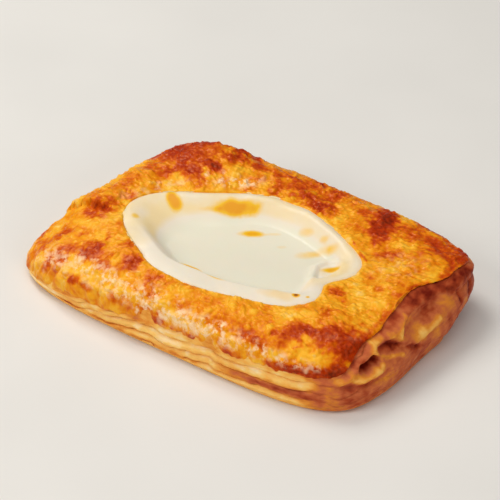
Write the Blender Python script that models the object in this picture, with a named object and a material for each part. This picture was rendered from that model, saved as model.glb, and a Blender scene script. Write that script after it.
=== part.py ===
"""A danish pastry: a baked, laminated crust with an oval well, and the white sauce set in it.

The pastry lies on its flat base. X runs along its length, Y across it and Z up, and the origin
is in the middle of the base. All lengths are in metres.

Both pieces are stacks of closed rings with one point on each spoke. The spokes fan out from the
well to the outline, and spoke 0 points along +X. A ball of rings and segments is carried onto
each stack, so every piece is one closed body.
"""

from math import acos, atan2, pi

import bmesh
import bpy
import numpy as np

# Overall size of the crust in plan
LENGTH = 0.130
WIDTH = 0.087

# The outline's corners before rounding, as shares of half the length and half the width, and how
# square each is rounded: far right, far left, near left, near right
CORNER_X = (1.073, -0.955, -1.205, 0.962)
CORNER_Y = (0.956, 0.980, -1.045, -0.980)
CORNER_SQUARENESS = (4.6, 3.4, 3.7, 5.2)
# How far the middle of each side bows out beyond its corners, or in with a minus sign: right and
# left, then far and near
BOW_X = (0.004, -0.092)
BOW_Y = (0.018, 0.002)

# The oval well
WELL_CENTRE = (-0.0024, -0.0037)
WELL_HALF_LENGTH = 0.0402
WELL_HALF_WIDTH = 0.0246
# Where its edge strays from an ellipse: direction in degrees, spread in degrees and share
WELL_STRAYS = (
    (23.0, 15.0, 0.070),
    (78.0, 32.0, 0.105),
    (154.0, 25.0, -0.160),
    (179.0, 32.0, 0.075),
    (240.0, 17.0, 0.068),
    (272.0, 45.0, 0.094),
    (330.0, 19.0, 0.057),
    (356.0, 11.0, -0.150),
)
WELL_FLOOR = 0.0075
WELL_FLOOR_REACH = 0.90
WELL_FLOOR_ROUNDING = 0.0008
CREST_HEIGHT = 0.0186
CREST_ROUNDING = 0.0008
WALL_HEIGHT = 0.0162

# Stations round the pastry, as shares of the way round from +X: the right end's middle and its
# far part, the far right corner, the far side, the far left corner, the left end, the near left
# corner, the near side, the near right corner and the right end's near part
STATIONS = (0.025, 0.065, 0.105, 0.25, 0.40, 0.50, 0.60, 0.75, 0.90, 0.945)
SKIN_EDGE_HEIGHT = (0.0198, 0.0185, 0.0160, 0.0156, 0.0160, 0.0090, 0.0046, 0.0094, 0.0118, 0.0170)
SKIN_EDGE_SETBACK = (0.0125, 0.0080, 0.0028, 0.0020, 0.0025, 0.0020, 0.0012, 0.0018, 0.0030, 0.0085)
FOOT_SETBACK = (0.0032, 0.0090, 0.0098, 0.0020, 0.0020, 0.0014, 0.0014, 0.0, 0.0002, 0.0012)
LEDGE_DEPTH = (0.0012, 0.0012, 0.0014, 0.0012, 0.0012, 0.0013, 0.0010, 0.0012, 0.0014, 0.0014)

# The top falls from the well's crest to the skin's edge as the root of one less this power of the
# way out, and its rings stand closer towards the edge
DOME_POWER = (3.0, 3.0, 3.0, 3.0, 3.0, 2.8, 1.5, 3.0, 3.0, 3.0)
TOP_RING_SPACING = 0.8

# Swells of the puffed top, and with a minus sign where it sank: x, y, radius and height, and the
# share of them left at the skin's edge
SWELLS = (
    (-0.040, 0.031, 0.0150, 0.0058),
    (-0.064, -0.027, 0.010, -0.0046),
    (-0.051, 0.006, 0.008, 0.0020),
    (-0.012, 0.035, 0.012, 0.0012),
    (0.030, 0.031, 0.014, 0.0006),
    (0.050, 0.020, 0.010, 0.0012),
    (0.046, -0.024, 0.011, 0.0012),
    (0.014, -0.034, 0.010, 0.0008),
    (-0.030, -0.032, 0.011, 0.0008),
)
SWELL_AT_EDGE = 0.3

# The upper sheet that ends in a step across the left end: the step's two ends, how high it stands,
# how wide its slope is, how far the sheet reaches back, and the shares of the step's length where
# it has faded out and over which it fades
SHEET_STEP = ((-0.0640, -0.0150), (-0.0455, -0.0128))
SHEET_HEIGHT = 0.0023
SHEET_SLOPE_WIDTH = 0.0010
SHEET_REACH = 0.0150
SHEET_FADED_OUT = 1.15
SHEET_FADE = 0.45

# Blisters on the skin: how many waves fit in a metre, and how far they stand
BLISTER_WAVES = 88.0
BLISTER_HEIGHT = 0.00035

# The laminated side: each layer is cut in under the one above, stands out again and runs on down.
# A step of a layer is how far down it lies and how much of the ledge's depth it is cut in.
LAYERS = 5
LAYER_STEPS = ((0.0, 1.0), (0.35, 0.1), (0.85, 0.0))
FIRST_LAYER_DROP = 0.25
LEDGE_UNEVENNESS = 0.3
SIDE_SLOPE = 1.5
RIGHT_END_SLOPE = 2.8
FOOT_SLOPE = 2.0
FOOT_ROUNDING = 0.0022
FOOT_HEIGHT = 0.0018
LAYER_WAVE = 0.0005
# Where along X the right end starts and is fully there, and how far its rim rolls out
RIGHT_END = (0.046, 0.055)
RIM_ROLL = 0.0012
RIM_ROLL_REACH = 0.12
# Hollows and, where the depth is negative, folds in the right end: y, z, half width, half height
# and depth
RIGHT_END_HOLLOWS = (
    (-0.0233, 0.0106, 0.0034, 0.0016, 0.0042),
    (-0.0119, 0.0118, 0.0060, 0.0014, 0.0014),
    (-0.0114, 0.0146, 0.0070, 0.0010, -0.0008),
    (-0.0269, 0.0086, 0.0060, 0.0010, -0.0010),
    (0.0041, 0.0153, 0.0090, 0.0022, 0.0010),
    (0.0013, 0.0120, 0.0060, 0.0014, -0.0006),
)

# The sauce
GAP = 0.0003
POOL_HEIGHT = 0.0142
LIP_RISE = 0.0005
# How much higher it set towards the near right: where that starts, how far it lies askew and over
# which distance it rises
POOL_TILT = 0.0016
POOL_TILT_START = 0.0055
POOL_TILT_SKEW = 0.5
POOL_TILT_REACH = 0.030
# Where its bank starts and ends at the stations, as shares of the way out to the well's wall
BANK_FOOT = (0.76, 0.74, 0.72, 0.62, 0.50, 0.48, 0.64, 0.64, 0.64, 0.70)
BANK_TOP = (0.96, 0.95, 0.94, 0.93, 0.95, 0.97, 0.84, 0.75, 0.78, 0.90)
# The fold of skin at the right of the pool: the hook that its ridge runs along, its half width
# and its height
FOLD_PATH = (
    (0.0319, -0.0112),
    (0.0281, -0.0078),
    (0.0245, -0.0029),
    (0.0224, 0.0026),
    (0.0235, 0.0066),
    (0.0265, 0.0082),
    (0.0301, 0.0063),
    (0.0319, 0.0019),
)
FOLD_WIDTH = 0.0020
FOLD_HEIGHT = 0.0030

SPOKES = 120
TOP_RINGS = 10
POOL_RINGS = 7
BANK_RINGS = 4
LIP_RINGS = 2

# Colours as linear red, green and blue, then roughness
CRUST_FINISH = ((0.62, 0.25, 0.05), 0.45)
SAUCE_FINISH = ((0.82, 0.75, 0.58), 0.30)


def clear_scene():
    """Removes every object of the scene that the script starts in."""
    for thing in list(bpy.data.objects):
        bpy.data.objects.remove(thing, do_unlink=True)


def evenly_round(curve):
    """Points at equal distances along a closed curve, one for each spoke.

    The curve is a function of the angle. Its length is summed over many short steps, and the
    angle at each equal share of the length is read back from that sum.
    """
    angles = np.linspace(0.0, 2.0 * pi, 7201)
    steps = np.linalg.norm(np.diff(curve(angles), axis=0), axis=1)
    run = np.concatenate(([0.0], np.cumsum(steps)))
    shares = np.arange(SPOKES) / SPOKES
    return curve(np.interp(shares * run[-1], run, angles))


def outline(angles):
    """The plan of the crust: a rounded four-sided shape with bowed sides.

    A superellipse in a unit square, each quarter with its own power, is stretched evenly between
    the four corners, and a parabola along each side then bows it out.
    """
    quarter = np.floor(angles / (0.5 * pi)).astype(int) % 4
    power = np.array(CORNER_SQUARENESS)[quarter]
    reach = (np.abs(np.cos(angles)) ** power + np.abs(np.sin(angles)) ** power) ** (-1.0 / power)
    p, q = reach * np.cos(angles), reach * np.sin(angles)
    shares = ((1.0 + p) * (1.0 + q), (1.0 - p) * (1.0 + q), (1.0 - p) * (1.0 - q), (1.0 + p) * (1.0 - q))
    x = sum(0.25 * share * corner for share, corner in zip(shares, CORNER_X))
    y = sum(0.25 * share * corner for share, corner in zip(shares, CORNER_Y))
    x += p * (1.0 - q**2) * np.where(p > 0.0, *BOW_X)
    y += q * (1.0 - p**2) * np.where(q > 0.0, *BOW_Y)
    return np.stack((0.5 * LENGTH * x, 0.5 * WIDTH * y), axis=1)


def well_edge(angles):
    """The plan of the well: an ellipse that a few soft bays and points make uneven."""
    x, y = WELL_HALF_LENGTH * np.cos(angles), WELL_HALF_WIDTH * np.sin(angles)
    direction = np.degrees(np.arctan2(y, x))
    reach = np.ones(len(angles))
    for centre, spread, share in WELL_STRAYS:
        away = (direction - centre + 180.0) % 360.0 - 180.0
        reach += share * np.exp(-((away / spread) ** 2))
    return np.stack((WELL_CENTRE[0] + reach * x, WELL_CENTRE[1] + reach * y), axis=1)


def smooth(value):
    """Eases a value from 0 to 1 with no slope at either end, and holds it outside."""
    held = np.clip(value, 0.0, 1.0)
    return held**2 * (3.0 - 2.0 * held)


def at_spokes(values):
    """Station values carried to every spoke, easing from each station to the next."""
    starts = np.array(STATIONS) - STATIONS[0]
    ends = np.append(starts[1:], 1.0)
    shares = (np.arange(SPOKES) / SPOKES - STATIONS[0]) % 1.0
    before = np.searchsorted(starts, shares, side="right") - 1
    way = (shares - starts[before]) / (ends[before] - starts[before])
    ease = 0.5 - 0.5 * np.cos(pi * way)
    held = np.array(values)
    return held[before] * (1.0 - ease) + np.roll(held, -1)[before] * ease


def swell(plan):
    """How far the puffed top stands up: soft round mounds, the upper sheet's step and blisters."""
    rise = np.zeros(len(plan))
    for x, y, radius, height in SWELLS:
        distance = np.hypot(plan[:, 0] - x, plan[:, 1] - y) / radius
        rise += height * np.exp(-distance**2)
    x, y = plan[:, 0] * 2.0 * pi * BLISTER_WAVES, plan[:, 1] * 2.0 * pi * BLISTER_WAVES
    blisters = np.sin(x + 1.3 * np.sin(y)) + np.sin(0.8 * y + 1.7 * np.sin(0.6 * x))
    return rise + sheet_step(plan) + BLISTER_HEIGHT * blisters


def sheet_step(plan):
    """The upper sheet's height: it rises steeply across its edge and sinks slowly behind it."""
    start, way = np.array(SHEET_STEP[0]), np.subtract(SHEET_STEP[1], SHEET_STEP[0])
    length = np.hypot(*way)
    x, y = (plan - start).T
    along = (x * way[0] + y * way[1]) / length
    behind = (way[0] * y - way[1] * x) / length
    # The step fades out beyond its inner end
    fade = smooth((SHEET_FADED_OUT - along / length) / SHEET_FADE)
    sink = np.exp(-((np.maximum(behind, 0.0) / SHEET_REACH) ** 2))
    return SHEET_HEIGHT * fade * smooth(behind / SHEET_SLOPE_WIDTH) * sink


def centred(*stacks):
    """The stacks of rings moved so that the first one's plan is centred on the origin."""
    points = np.concatenate(stacks[0])
    middle = 0.5 * (points.min(axis=0) + points.max(axis=0)) * (1.0, 1.0, 0.0)
    return [[one - middle for one in rings] for rings in stacks]


def ring(plan, height):
    """A ring of points over a plan, at one height or at one for each spoke."""
    return np.column_stack((plan, np.broadcast_to(height, len(plan))))


def right_end_hollow(edge, height, down):
    """How far hollows go into the right end, and with a minus sign how far folds and its rim stand."""
    depth = np.full(len(edge), -RIM_ROLL * np.exp(-((down / RIM_ROLL_REACH) ** 2)))
    for y, z, half_width, half_height, most in RIGHT_END_HOLLOWS:
        across, up = (edge[:, 1] - y) / half_width, (height - z) / half_height
        depth += most * np.exp(-(across**2) - up**2)
    return depth


def crust_rings():
    """The crust's rings, from the floor of the well over the top and down the side to the base."""
    well = evenly_round(well_edge)
    edge = evenly_round(outline)
    outward = (edge - well) / np.linalg.norm(edge - well, axis=1)[:, None]
    skin_height = at_spokes(SKIN_EDGE_HEIGHT)
    setback = at_spokes(SKIN_EDGE_SETBACK)
    foot = at_spokes(FOOT_SETBACK)
    ledge = at_spokes(LEDGE_DEPTH)
    skin_edge = edge - setback[:, None] * outward
    centre = np.array(WELL_CENTRE)
    at_right = smooth((edge[:, 0] - RIGHT_END[0]) / (RIGHT_END[1] - RIGHT_END[0]))
    slope = SIDE_SLOPE + (RIGHT_END_SLOPE - SIDE_SLOPE) * at_right
    foot_slope = FOOT_SLOPE + at_right
    dome_power = at_spokes(DOME_POWER)

    def in_well(share):
        return centre + share * (well - centre)

    rings = [
        ring(in_well(0.5 * WELL_FLOOR_REACH), WELL_FLOOR),
        ring(in_well(0.95 * WELL_FLOOR_REACH), WELL_FLOOR),
        ring(in_well(WELL_FLOOR_REACH), WELL_FLOOR + WELL_FLOOR_ROUNDING),
        ring(in_well(1.0), WALL_HEIGHT),
        ring(in_well(1.0), CREST_HEIGHT - CREST_ROUNDING),
    ]
    for step in range(1, TOP_RINGS + 1):
        share = (step / TOP_RINGS) ** TOP_RING_SPACING
        plan = well + share * (skin_edge - well)
        dome = np.sqrt(1.0 - share**dome_power)
        left = SWELL_AT_EDGE + (1.0 - SWELL_AT_EDGE) * dome
        rings.append(ring(plan, skin_height + (CREST_HEIGHT - skin_height) * dome + left * swell(plan)))

    spoke_angle = 2.0 * pi * np.arange(SPOKES) / SPOKES
    for layer in range(LAYERS):
        uneven = 1.0 + LEDGE_UNEVENNESS * (np.sin(5.0 * spoke_angle + layer) - 1.0)
        for part_of_layer, cut in LAYER_STEPS:
            down = (layer + part_of_layer + FIRST_LAYER_DROP) / (LAYERS + FIRST_LAYER_DROP)
            share = 1.0 - down
            wave = np.sin(3.0 * spoke_angle + 2.1 * layer) + np.sin(7.0 * spoke_angle + 1.3 * layer)
            fade = 4.0 * share * (1.0 - share)
            height = FOOT_HEIGHT + (skin_height - FOOT_HEIGHT) * share + LAYER_WAVE * wave * fade
            inset = setback * share**slope + foot * down**foot_slope + ledge * cut * uneven
            inset += at_right * right_end_hollow(edge, height, down)
            inset = np.maximum(inset, 0.0)
            rings.append(ring(edge - inset[:, None] * outward, height))
    for inset, height in ((0.0, FOOT_HEIGHT), (0.4, 0.25 * FOOT_HEIGHT), (1.0, 0.0)):
        rings.append(ring(edge - (foot + inset * FOOT_ROUNDING)[:, None] * outward, height))
    rings.append(ring(0.5 * edge, 0.0))
    return rings


def stretch_distance(plan, start, end):
    """Distance of points of the plan from a straight stretch between two points."""
    way = np.subtract(end, start)
    share = np.clip((plan - start) @ way / (way @ way), 0.0, 1.0)
    return np.linalg.norm(plan - start - share[:, None] * way, axis=1)


def sauce_height(plan, share, foot, top):
    """The sauce's surface: a nearly level pool, a bank up to the well's edge, and a curled fold."""
    bank = smooth((share - foot) / (top - foot))
    way = POOL_TILT_START - plan[:, 1] + POOL_TILT_SKEW * plan[:, 0]
    pool = POOL_HEIGHT + POOL_TILT * smooth(way / POOL_TILT_REACH)
    crest = CREST_HEIGHT + LIP_RISE
    fall = LIP_RISE * np.clip((share - top) / (1.0 - top), 0.0, 1.0) ** 2
    distances = [stretch_distance(plan, start, end) for start, end in zip(FOLD_PATH, FOLD_PATH[1:])]
    fold = FOLD_HEIGHT * np.exp(-((np.min(distances, axis=0) / FOLD_WIDTH) ** 2)) * (1.0 - bank)
    return pool + (crest - pool) * bank - fall + fold


def sauce_rings():
    """The sauce's rings, from the middle of the pool out to the lip and down to its underside."""
    centre = np.array(WELL_CENTRE)
    reach = evenly_round(well_edge) - centre
    room = reach * (1.0 - GAP / np.linalg.norm(reach, axis=1))[:, None]
    foot, top = at_spokes(BANK_FOOT), at_spokes(BANK_TOP)

    rings = []
    bands = ((0.0, foot, POOL_RINGS), (foot, top, BANK_RINGS), (top, 1.0, LIP_RINGS))
    for start, end, count in bands:
        for step in range(1, count + 1):
            share = start + (end - start) * step / count
            plan = centre + share[:, None] * room
            rings.append(ring(plan, sauce_height(plan, share, foot, top)))
    low = WELL_FLOOR + WELL_FLOOR_ROUNDING + GAP
    rings.append(ring(centre + room, WALL_HEIGHT))
    rings.append(ring(centre + WELL_FLOOR_REACH * room, low))
    rings.append(ring(centre + 0.5 * room, low))
    return rings


def ball_on_rings(name, rings, finish, home):
    """A closed body: a ball whose rings are carried onto the given rings and their two ends."""
    mesh = bpy.data.meshes.new(name)
    ball = bmesh.new()
    bands = len(rings) + 1
    bmesh.ops.create_uvsphere(ball, u_segments=SPOKES, v_segments=bands, radius=1.0)
    for vertex in ball.verts:
        x, y, z = vertex.co
        level = round(acos(max(-1.0, min(1.0, z))) / pi * bands)
        spoke = round(atan2(y, x) / (2.0 * pi) * SPOKES) % SPOKES
        if level == 0:
            vertex.co = rings[0].mean(axis=0)
        elif level == bands:
            vertex.co = rings[-1].mean(axis=0)
        else:
            vertex.co = rings[level - 1][spoke]
    ball.to_mesh(mesh)
    ball.free()
    mesh.shade_smooth()
    mesh.set_sharp_from_angle(angle=0.9)
    mesh.materials.append(material(name, *finish))
    body = bpy.data.objects.new(name, mesh)
    home.objects.link(body)
    return body


def material(name, colour, roughness):
    """A plain food finish in one colour."""
    made = bpy.data.materials.new(name)
    made.use_nodes = True
    shader = made.node_tree.nodes["Principled BSDF"]
    shader.inputs["Base Color"].default_value = (*colour, 1.0)
    shader.inputs["Roughness"].default_value = roughness
    shader.inputs["Metallic"].default_value = 0.0
    return made


def main():
    """Builds the pastry in its own collection."""
    clear_scene()
    home = bpy.data.collections.new("danish_pastry")
    bpy.context.scene.collection.children.link(home)
    crust, sauce = centred(crust_rings(), sauce_rings())
    ball_on_rings("crust", crust, CRUST_FINISH, home)
    ball_on_rings("sauce", sauce, SAUCE_FINISH, home)


main()
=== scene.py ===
"""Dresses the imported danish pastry: its egg-washed skin, its laminated side and the set white sauce.

Every piece is a surface on a grid: rings that run round the pastry, one below the other, with one
point on each spoke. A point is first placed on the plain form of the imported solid, and relief is
then added along the surface's own normal. Lengths are in metres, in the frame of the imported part.
"""

from math import cos, pi, radians, sin

import bpy
import numpy as np
from bpy.props import FloatProperty, FloatVectorProperty, PointerProperty
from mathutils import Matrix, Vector


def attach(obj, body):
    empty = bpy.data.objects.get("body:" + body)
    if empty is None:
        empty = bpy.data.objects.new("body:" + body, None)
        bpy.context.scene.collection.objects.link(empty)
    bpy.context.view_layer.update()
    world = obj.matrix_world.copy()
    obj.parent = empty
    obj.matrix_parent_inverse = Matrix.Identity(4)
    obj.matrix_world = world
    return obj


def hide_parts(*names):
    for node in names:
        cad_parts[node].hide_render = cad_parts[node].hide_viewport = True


bl_info = {
    "name": "Danish pastry",
    "version": (1, 0, 0),
    "blender": (4, 5, 0),
    "location": "3D View > Sidebar > Pastry",
    "description": "Builds the glazed skin, the laminated side and the set sauce of a danish pastry",
    "category": "Add Mesh",
}

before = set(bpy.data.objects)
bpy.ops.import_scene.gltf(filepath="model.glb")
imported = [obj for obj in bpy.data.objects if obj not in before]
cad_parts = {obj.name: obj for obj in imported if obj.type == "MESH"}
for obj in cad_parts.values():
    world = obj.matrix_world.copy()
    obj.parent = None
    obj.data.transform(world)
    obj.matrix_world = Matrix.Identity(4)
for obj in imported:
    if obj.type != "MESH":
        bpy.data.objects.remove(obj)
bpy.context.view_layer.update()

# The crust in plan. Its corners, far right, far left, near left and near right, lie at shares of
# half the length and half the width, and the higher a corner's power the squarer it is
LENGTH = 0.130
WIDTH = 0.087
CORNER_X = (1.073, -0.955, -1.205, 0.962)
CORNER_Y = (0.956, 0.980, -1.045, -0.980)
CORNER_SQUARENESS = (4.6, 3.4, 3.7, 5.2)
# How far the right and the left side bow out, then the far and the near one, as such shares
BOW_X = (0.004, -0.092)
BOW_Y = (0.018, 0.002)
# The middle of the crust's box in the coordinates of this plan, of the swells and of the sheet
PLAN_CENTRE = (-0.00093, -0.00120)

# The oval well, and where its edge strays from an ellipse: direction and spread in degrees, share
WELL_CENTRE = (-0.0024, -0.0037)
WELL_HALF_LENGTH = 0.0402
WELL_HALF_WIDTH = 0.0246
WELL_STRAYS = (
    (23.0, 15.0, 0.070),
    (78.0, 32.0, 0.105),
    (154.0, 25.0, -0.160),
    (179.0, 32.0, 0.075),
    (240.0, 17.0, 0.068),
    (272.0, 45.0, 0.094),
    (330.0, 19.0, 0.057),
    (356.0, 11.0, -0.150),
)
WELL_FLOOR = 0.0083
CREST_HEIGHT = 0.0186
# How far under the skin's crest the dough of the body lies
UNDER_SKIN = 0.0024

# Stations round the pastry as shares of the way round from +X towards +Y, and what changes along
# them: the skin's edge, how far in the foot stands, how deep the side is cut between layers, and
# the power with which the top falls
STATIONS = (0.025, 0.065, 0.105, 0.25, 0.40, 0.50, 0.60, 0.75, 0.90, 0.945)
SKIN_EDGE_HEIGHT = (0.0198, 0.0185, 0.0160, 0.0156, 0.0160, 0.0090, 0.0046, 0.0094, 0.0118, 0.0170)
SKIN_EDGE_SETBACK = (0.0125, 0.0080, 0.0028, 0.0020, 0.0025, 0.0020, 0.0012, 0.0018, 0.0030, 0.0085)
SKIN_EDGE_THICKNESS = (0.0005, 0.0005, 0.0008, 0.0014, 0.0014, 0.0012, 0.0011, 0.0012, 0.0014, 0.0006)
FOOT_SETBACK = (0.0032, 0.0090, 0.0098, 0.0020, 0.0020, 0.0014, 0.0014, 0.0, 0.0002, 0.0012)
LEDGE_DEPTH = (0.0012, 0.0012, 0.0014, 0.0012, 0.0012, 0.0013, 0.0010, 0.0012, 0.0014, 0.0014)
DOME_POWER = (3.0, 3.0, 3.0, 3.0, 3.0, 2.8, 1.5, 3.0, 3.0, 3.0)

# Swells of the puffed top: x, y, radius and height, and the share of them left at the skin's edge
SWELLS = (
    (-0.040, 0.031, 0.0150, 0.0058),
    (-0.064, -0.027, 0.010, -0.0046),
    (-0.051, 0.006, 0.008, 0.0020),
    (-0.012, 0.035, 0.012, 0.0012),
    (0.030, 0.031, 0.014, 0.0006),
    (0.050, 0.020, 0.010, 0.0012),
    (0.046, -0.024, 0.011, 0.0012),
    (0.014, -0.034, 0.010, 0.0008),
    (-0.030, -0.032, 0.011, 0.0008),
)
SWELL_AT_EDGE = 0.3

# The upper sheet that ends in a step across the left end: the step's two ends, how high it stands
# and how far it reaches back
SHEET_STEP = ((-0.0640, -0.0150), (-0.0455, -0.0128))
SHEET_HEIGHT = 0.0023
SHEET_REACH = 0.0150
# The step rises over this width, along a line torn in two waves: height, radians a metre, phase
SHEET_RISE = 0.0008
SHEET_TEAR = ((0.0006, 1900.0, 0.0), (0.0004, 4300.0, 1.0))
# Where it has sunk away, and over how much of the step's length it does so
SHEET_FADED_OUT = 1.15
SHEET_FADE = 0.45

# The marks of the skin's relief: how high each kind stands and how far across it is
PUFF_HEIGHT, PUFF_SIZE = 0.00050, 0.0085
LARGE_BLISTER_HEIGHT, LARGE_BLISTER_SIZE = 0.00052, 0.0027
SMALL_BLISTER_HEIGHT, SMALL_BLISTER_SIZE = 0.00028, 0.0013
FLAKE_HEIGHT, FLAKE_SIZE = 0.00022, 0.0170
WRINKLE_HEIGHT, WRINKLE_SIZE = 0.00034, 0.0033
GRAIN_HEIGHT, GRAIN_SIZE = 0.00006, 0.0007

# The side: how many layers show where it is as high as FULL_SIDE or higher, and the power with
# which it comes out from under the skin
LAYERS = 3.3
FULL_SIDE = 0.0110
SIDE_SLOPE = 1.5
FOOT_ROUNDING = 0.0022
FOOT_HEIGHT = 0.0018
# The folded right end: where it starts and where it is full, that power in it, and its rolled rim
RIGHT_END = (0.046, 0.055)
RIGHT_END_SLOPE = 2.8
RIM_ROLL = 0.0012

# Creases and folds in the right end, as lines through points: y and z of each and, for the stretch
# that follows it, half width, depth (with a minus sign where it stands out) and how much darker it
# is, as toasting and, in hollows and creases, as painted shade
RIGHT_END_LINES = (
    # The browned rim under the skin's edge, darker also with painted shade under the edge, from the near
    # corner to the far one
    ((-0.0310, 0.0134, 0.0018, 0.0006, 0.16), (-0.0250, 0.0148)),
    ((-0.0250, 0.0150, 0.0016, 0.0003, 0.10), (-0.0180, 0.0165)),
    ((-0.0150, 0.0170, 0.0013, 0.0004, 0.20), (-0.0070, 0.0172, 0.0014, 0.0005, 0.20),
     (0.0050, 0.0187, 0.0014, 0.0005, 0.18), (0.0150, 0.0188)),
    ((0.0150, 0.0182, 0.0015, 0.0005, 0.17), (0.0285, 0.0170)),
    ((0.0170, 0.0172, 0.0014, 0.0006, 0.22), (0.0186, 0.0166)),
    # The golden edge of the fold, which runs down from the rim to the pocket
    ((-0.0026, 0.0170, 0.0010, -0.0007, -0.26), (-0.0061, 0.0156, 0.0011, -0.0009, -0.32),
     (-0.0086, 0.0143, 0.0008, -0.0005, -0.20), (-0.0106, 0.0150, 0.0008, -0.0004, -0.18),
     (-0.0141, 0.0163, 0.0009, -0.0005, -0.26), (-0.0182, 0.0161, 0.0010, -0.0007, -0.32),
     (-0.0195, 0.0153, 0.0009, -0.0006, -0.28), (-0.0191, 0.0138)),
    # The pocket under it, dark with painted shade, and the pocket's lower edge
    ((-0.0175, 0.0150, 0.0009, 0.0012, 0.20), (-0.0140, 0.0142, 0.0011, 0.0014, 0.26),
     (-0.0088, 0.0120, 0.0008, 0.0010, 0.18), (-0.0030, 0.0092)),
    ((-0.0191, 0.0138, 0.0006, -0.0003, -0.20), (-0.0155, 0.0117, 0.0006, -0.0003, -0.18),
     (-0.0100, 0.0101)),
    # The hole near the near corner, dark with painted shade, the golden ledge round it and the crease
    # under that, with painted shade in it
    ((-0.0252, 0.0120, 0.0011, 0.0042, 0.46), (-0.0205, 0.0128)),
    ((-0.0326, 0.0103, 0.0010, -0.0005, -0.24), (-0.0290, 0.0100, 0.0012, -0.0007, -0.32),
     (-0.0250, 0.0101, 0.0010, -0.0008, -0.34), (-0.0210, 0.0103, 0.0008, -0.0006, -0.28),
     (-0.0190, 0.0114, 0.0007, -0.0005, -0.20), (-0.0186, 0.0128)),
    ((-0.0325, 0.0080, 0.0009, 0.0008, 0.16), (-0.0240, 0.0082)),
    ((-0.0230, 0.0082, 0.0008, 0.0006, 0.12), (-0.0180, 0.0088)),
    # The golden patch in the middle, and a thin fold beside it
    ((-0.0034, 0.0109, 0.0012, -0.0005, -0.27), (0.0010, 0.0113, 0.0013, -0.0005, -0.30),
     (0.0088, 0.0119)),
    ((-0.0060, 0.0112, 0.0005, -0.0003, -0.12), (-0.0110, 0.0122)),
    # A faint fold and two creases by the far corner, then the broad hollow under the rim, the creases
    # and hollow darker with painted shade
    ((0.0153, 0.0158, 0.0012, -0.0004, -0.08), (0.0153, 0.0134)),
    ((0.0207, 0.0152, 0.0008, 0.0007, 0.16), (0.0207, 0.0120)),
    ((0.0282, 0.0134, 0.0011, 0.0006, 0.22), (0.0262, 0.0120)),
    ((-0.0026, 0.0146, 0.0020, 0.0011, 0.05), (0.0110, 0.0156)),
)

# The sauce, and at each station where its bank starts and ends, as shares of the way out from the
# middle of the well
POOL_HEIGHT = 0.0142
POOL_TILT = 0.0016
LIP_RISE = 0.0005
BANK_FOOT = (0.76, 0.74, 0.72, 0.62, 0.50, 0.48, 0.64, 0.64, 0.64, 0.70)
BANK_TOP = (0.96, 0.95, 0.94, 0.93, 0.95, 0.97, 0.84, 0.75, 0.78, 0.90)
# The fold of the sauce's skin: the hook that its ridge runs along, its half width and its height
FOLD_PATH = ((0.0328, -0.0100), (0.0290, -0.0066), (0.0254, -0.0017), (0.0233, 0.0038),
             (0.0244, 0.0078), (0.0274, 0.0094), (0.0310, 0.0075), (0.0328, 0.0031))
FOLD_WIDTH = 0.0017
FOLD_HEIGHT = 0.0017
# The raised floor inside the hook: its centre, its radius and its height
FOLD_FLOOR = (0.0284, 0.0040)
FOLD_FLOOR_RADIUS = 0.0050
FOLD_FLOOR_RISE = 0.0010
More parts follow.
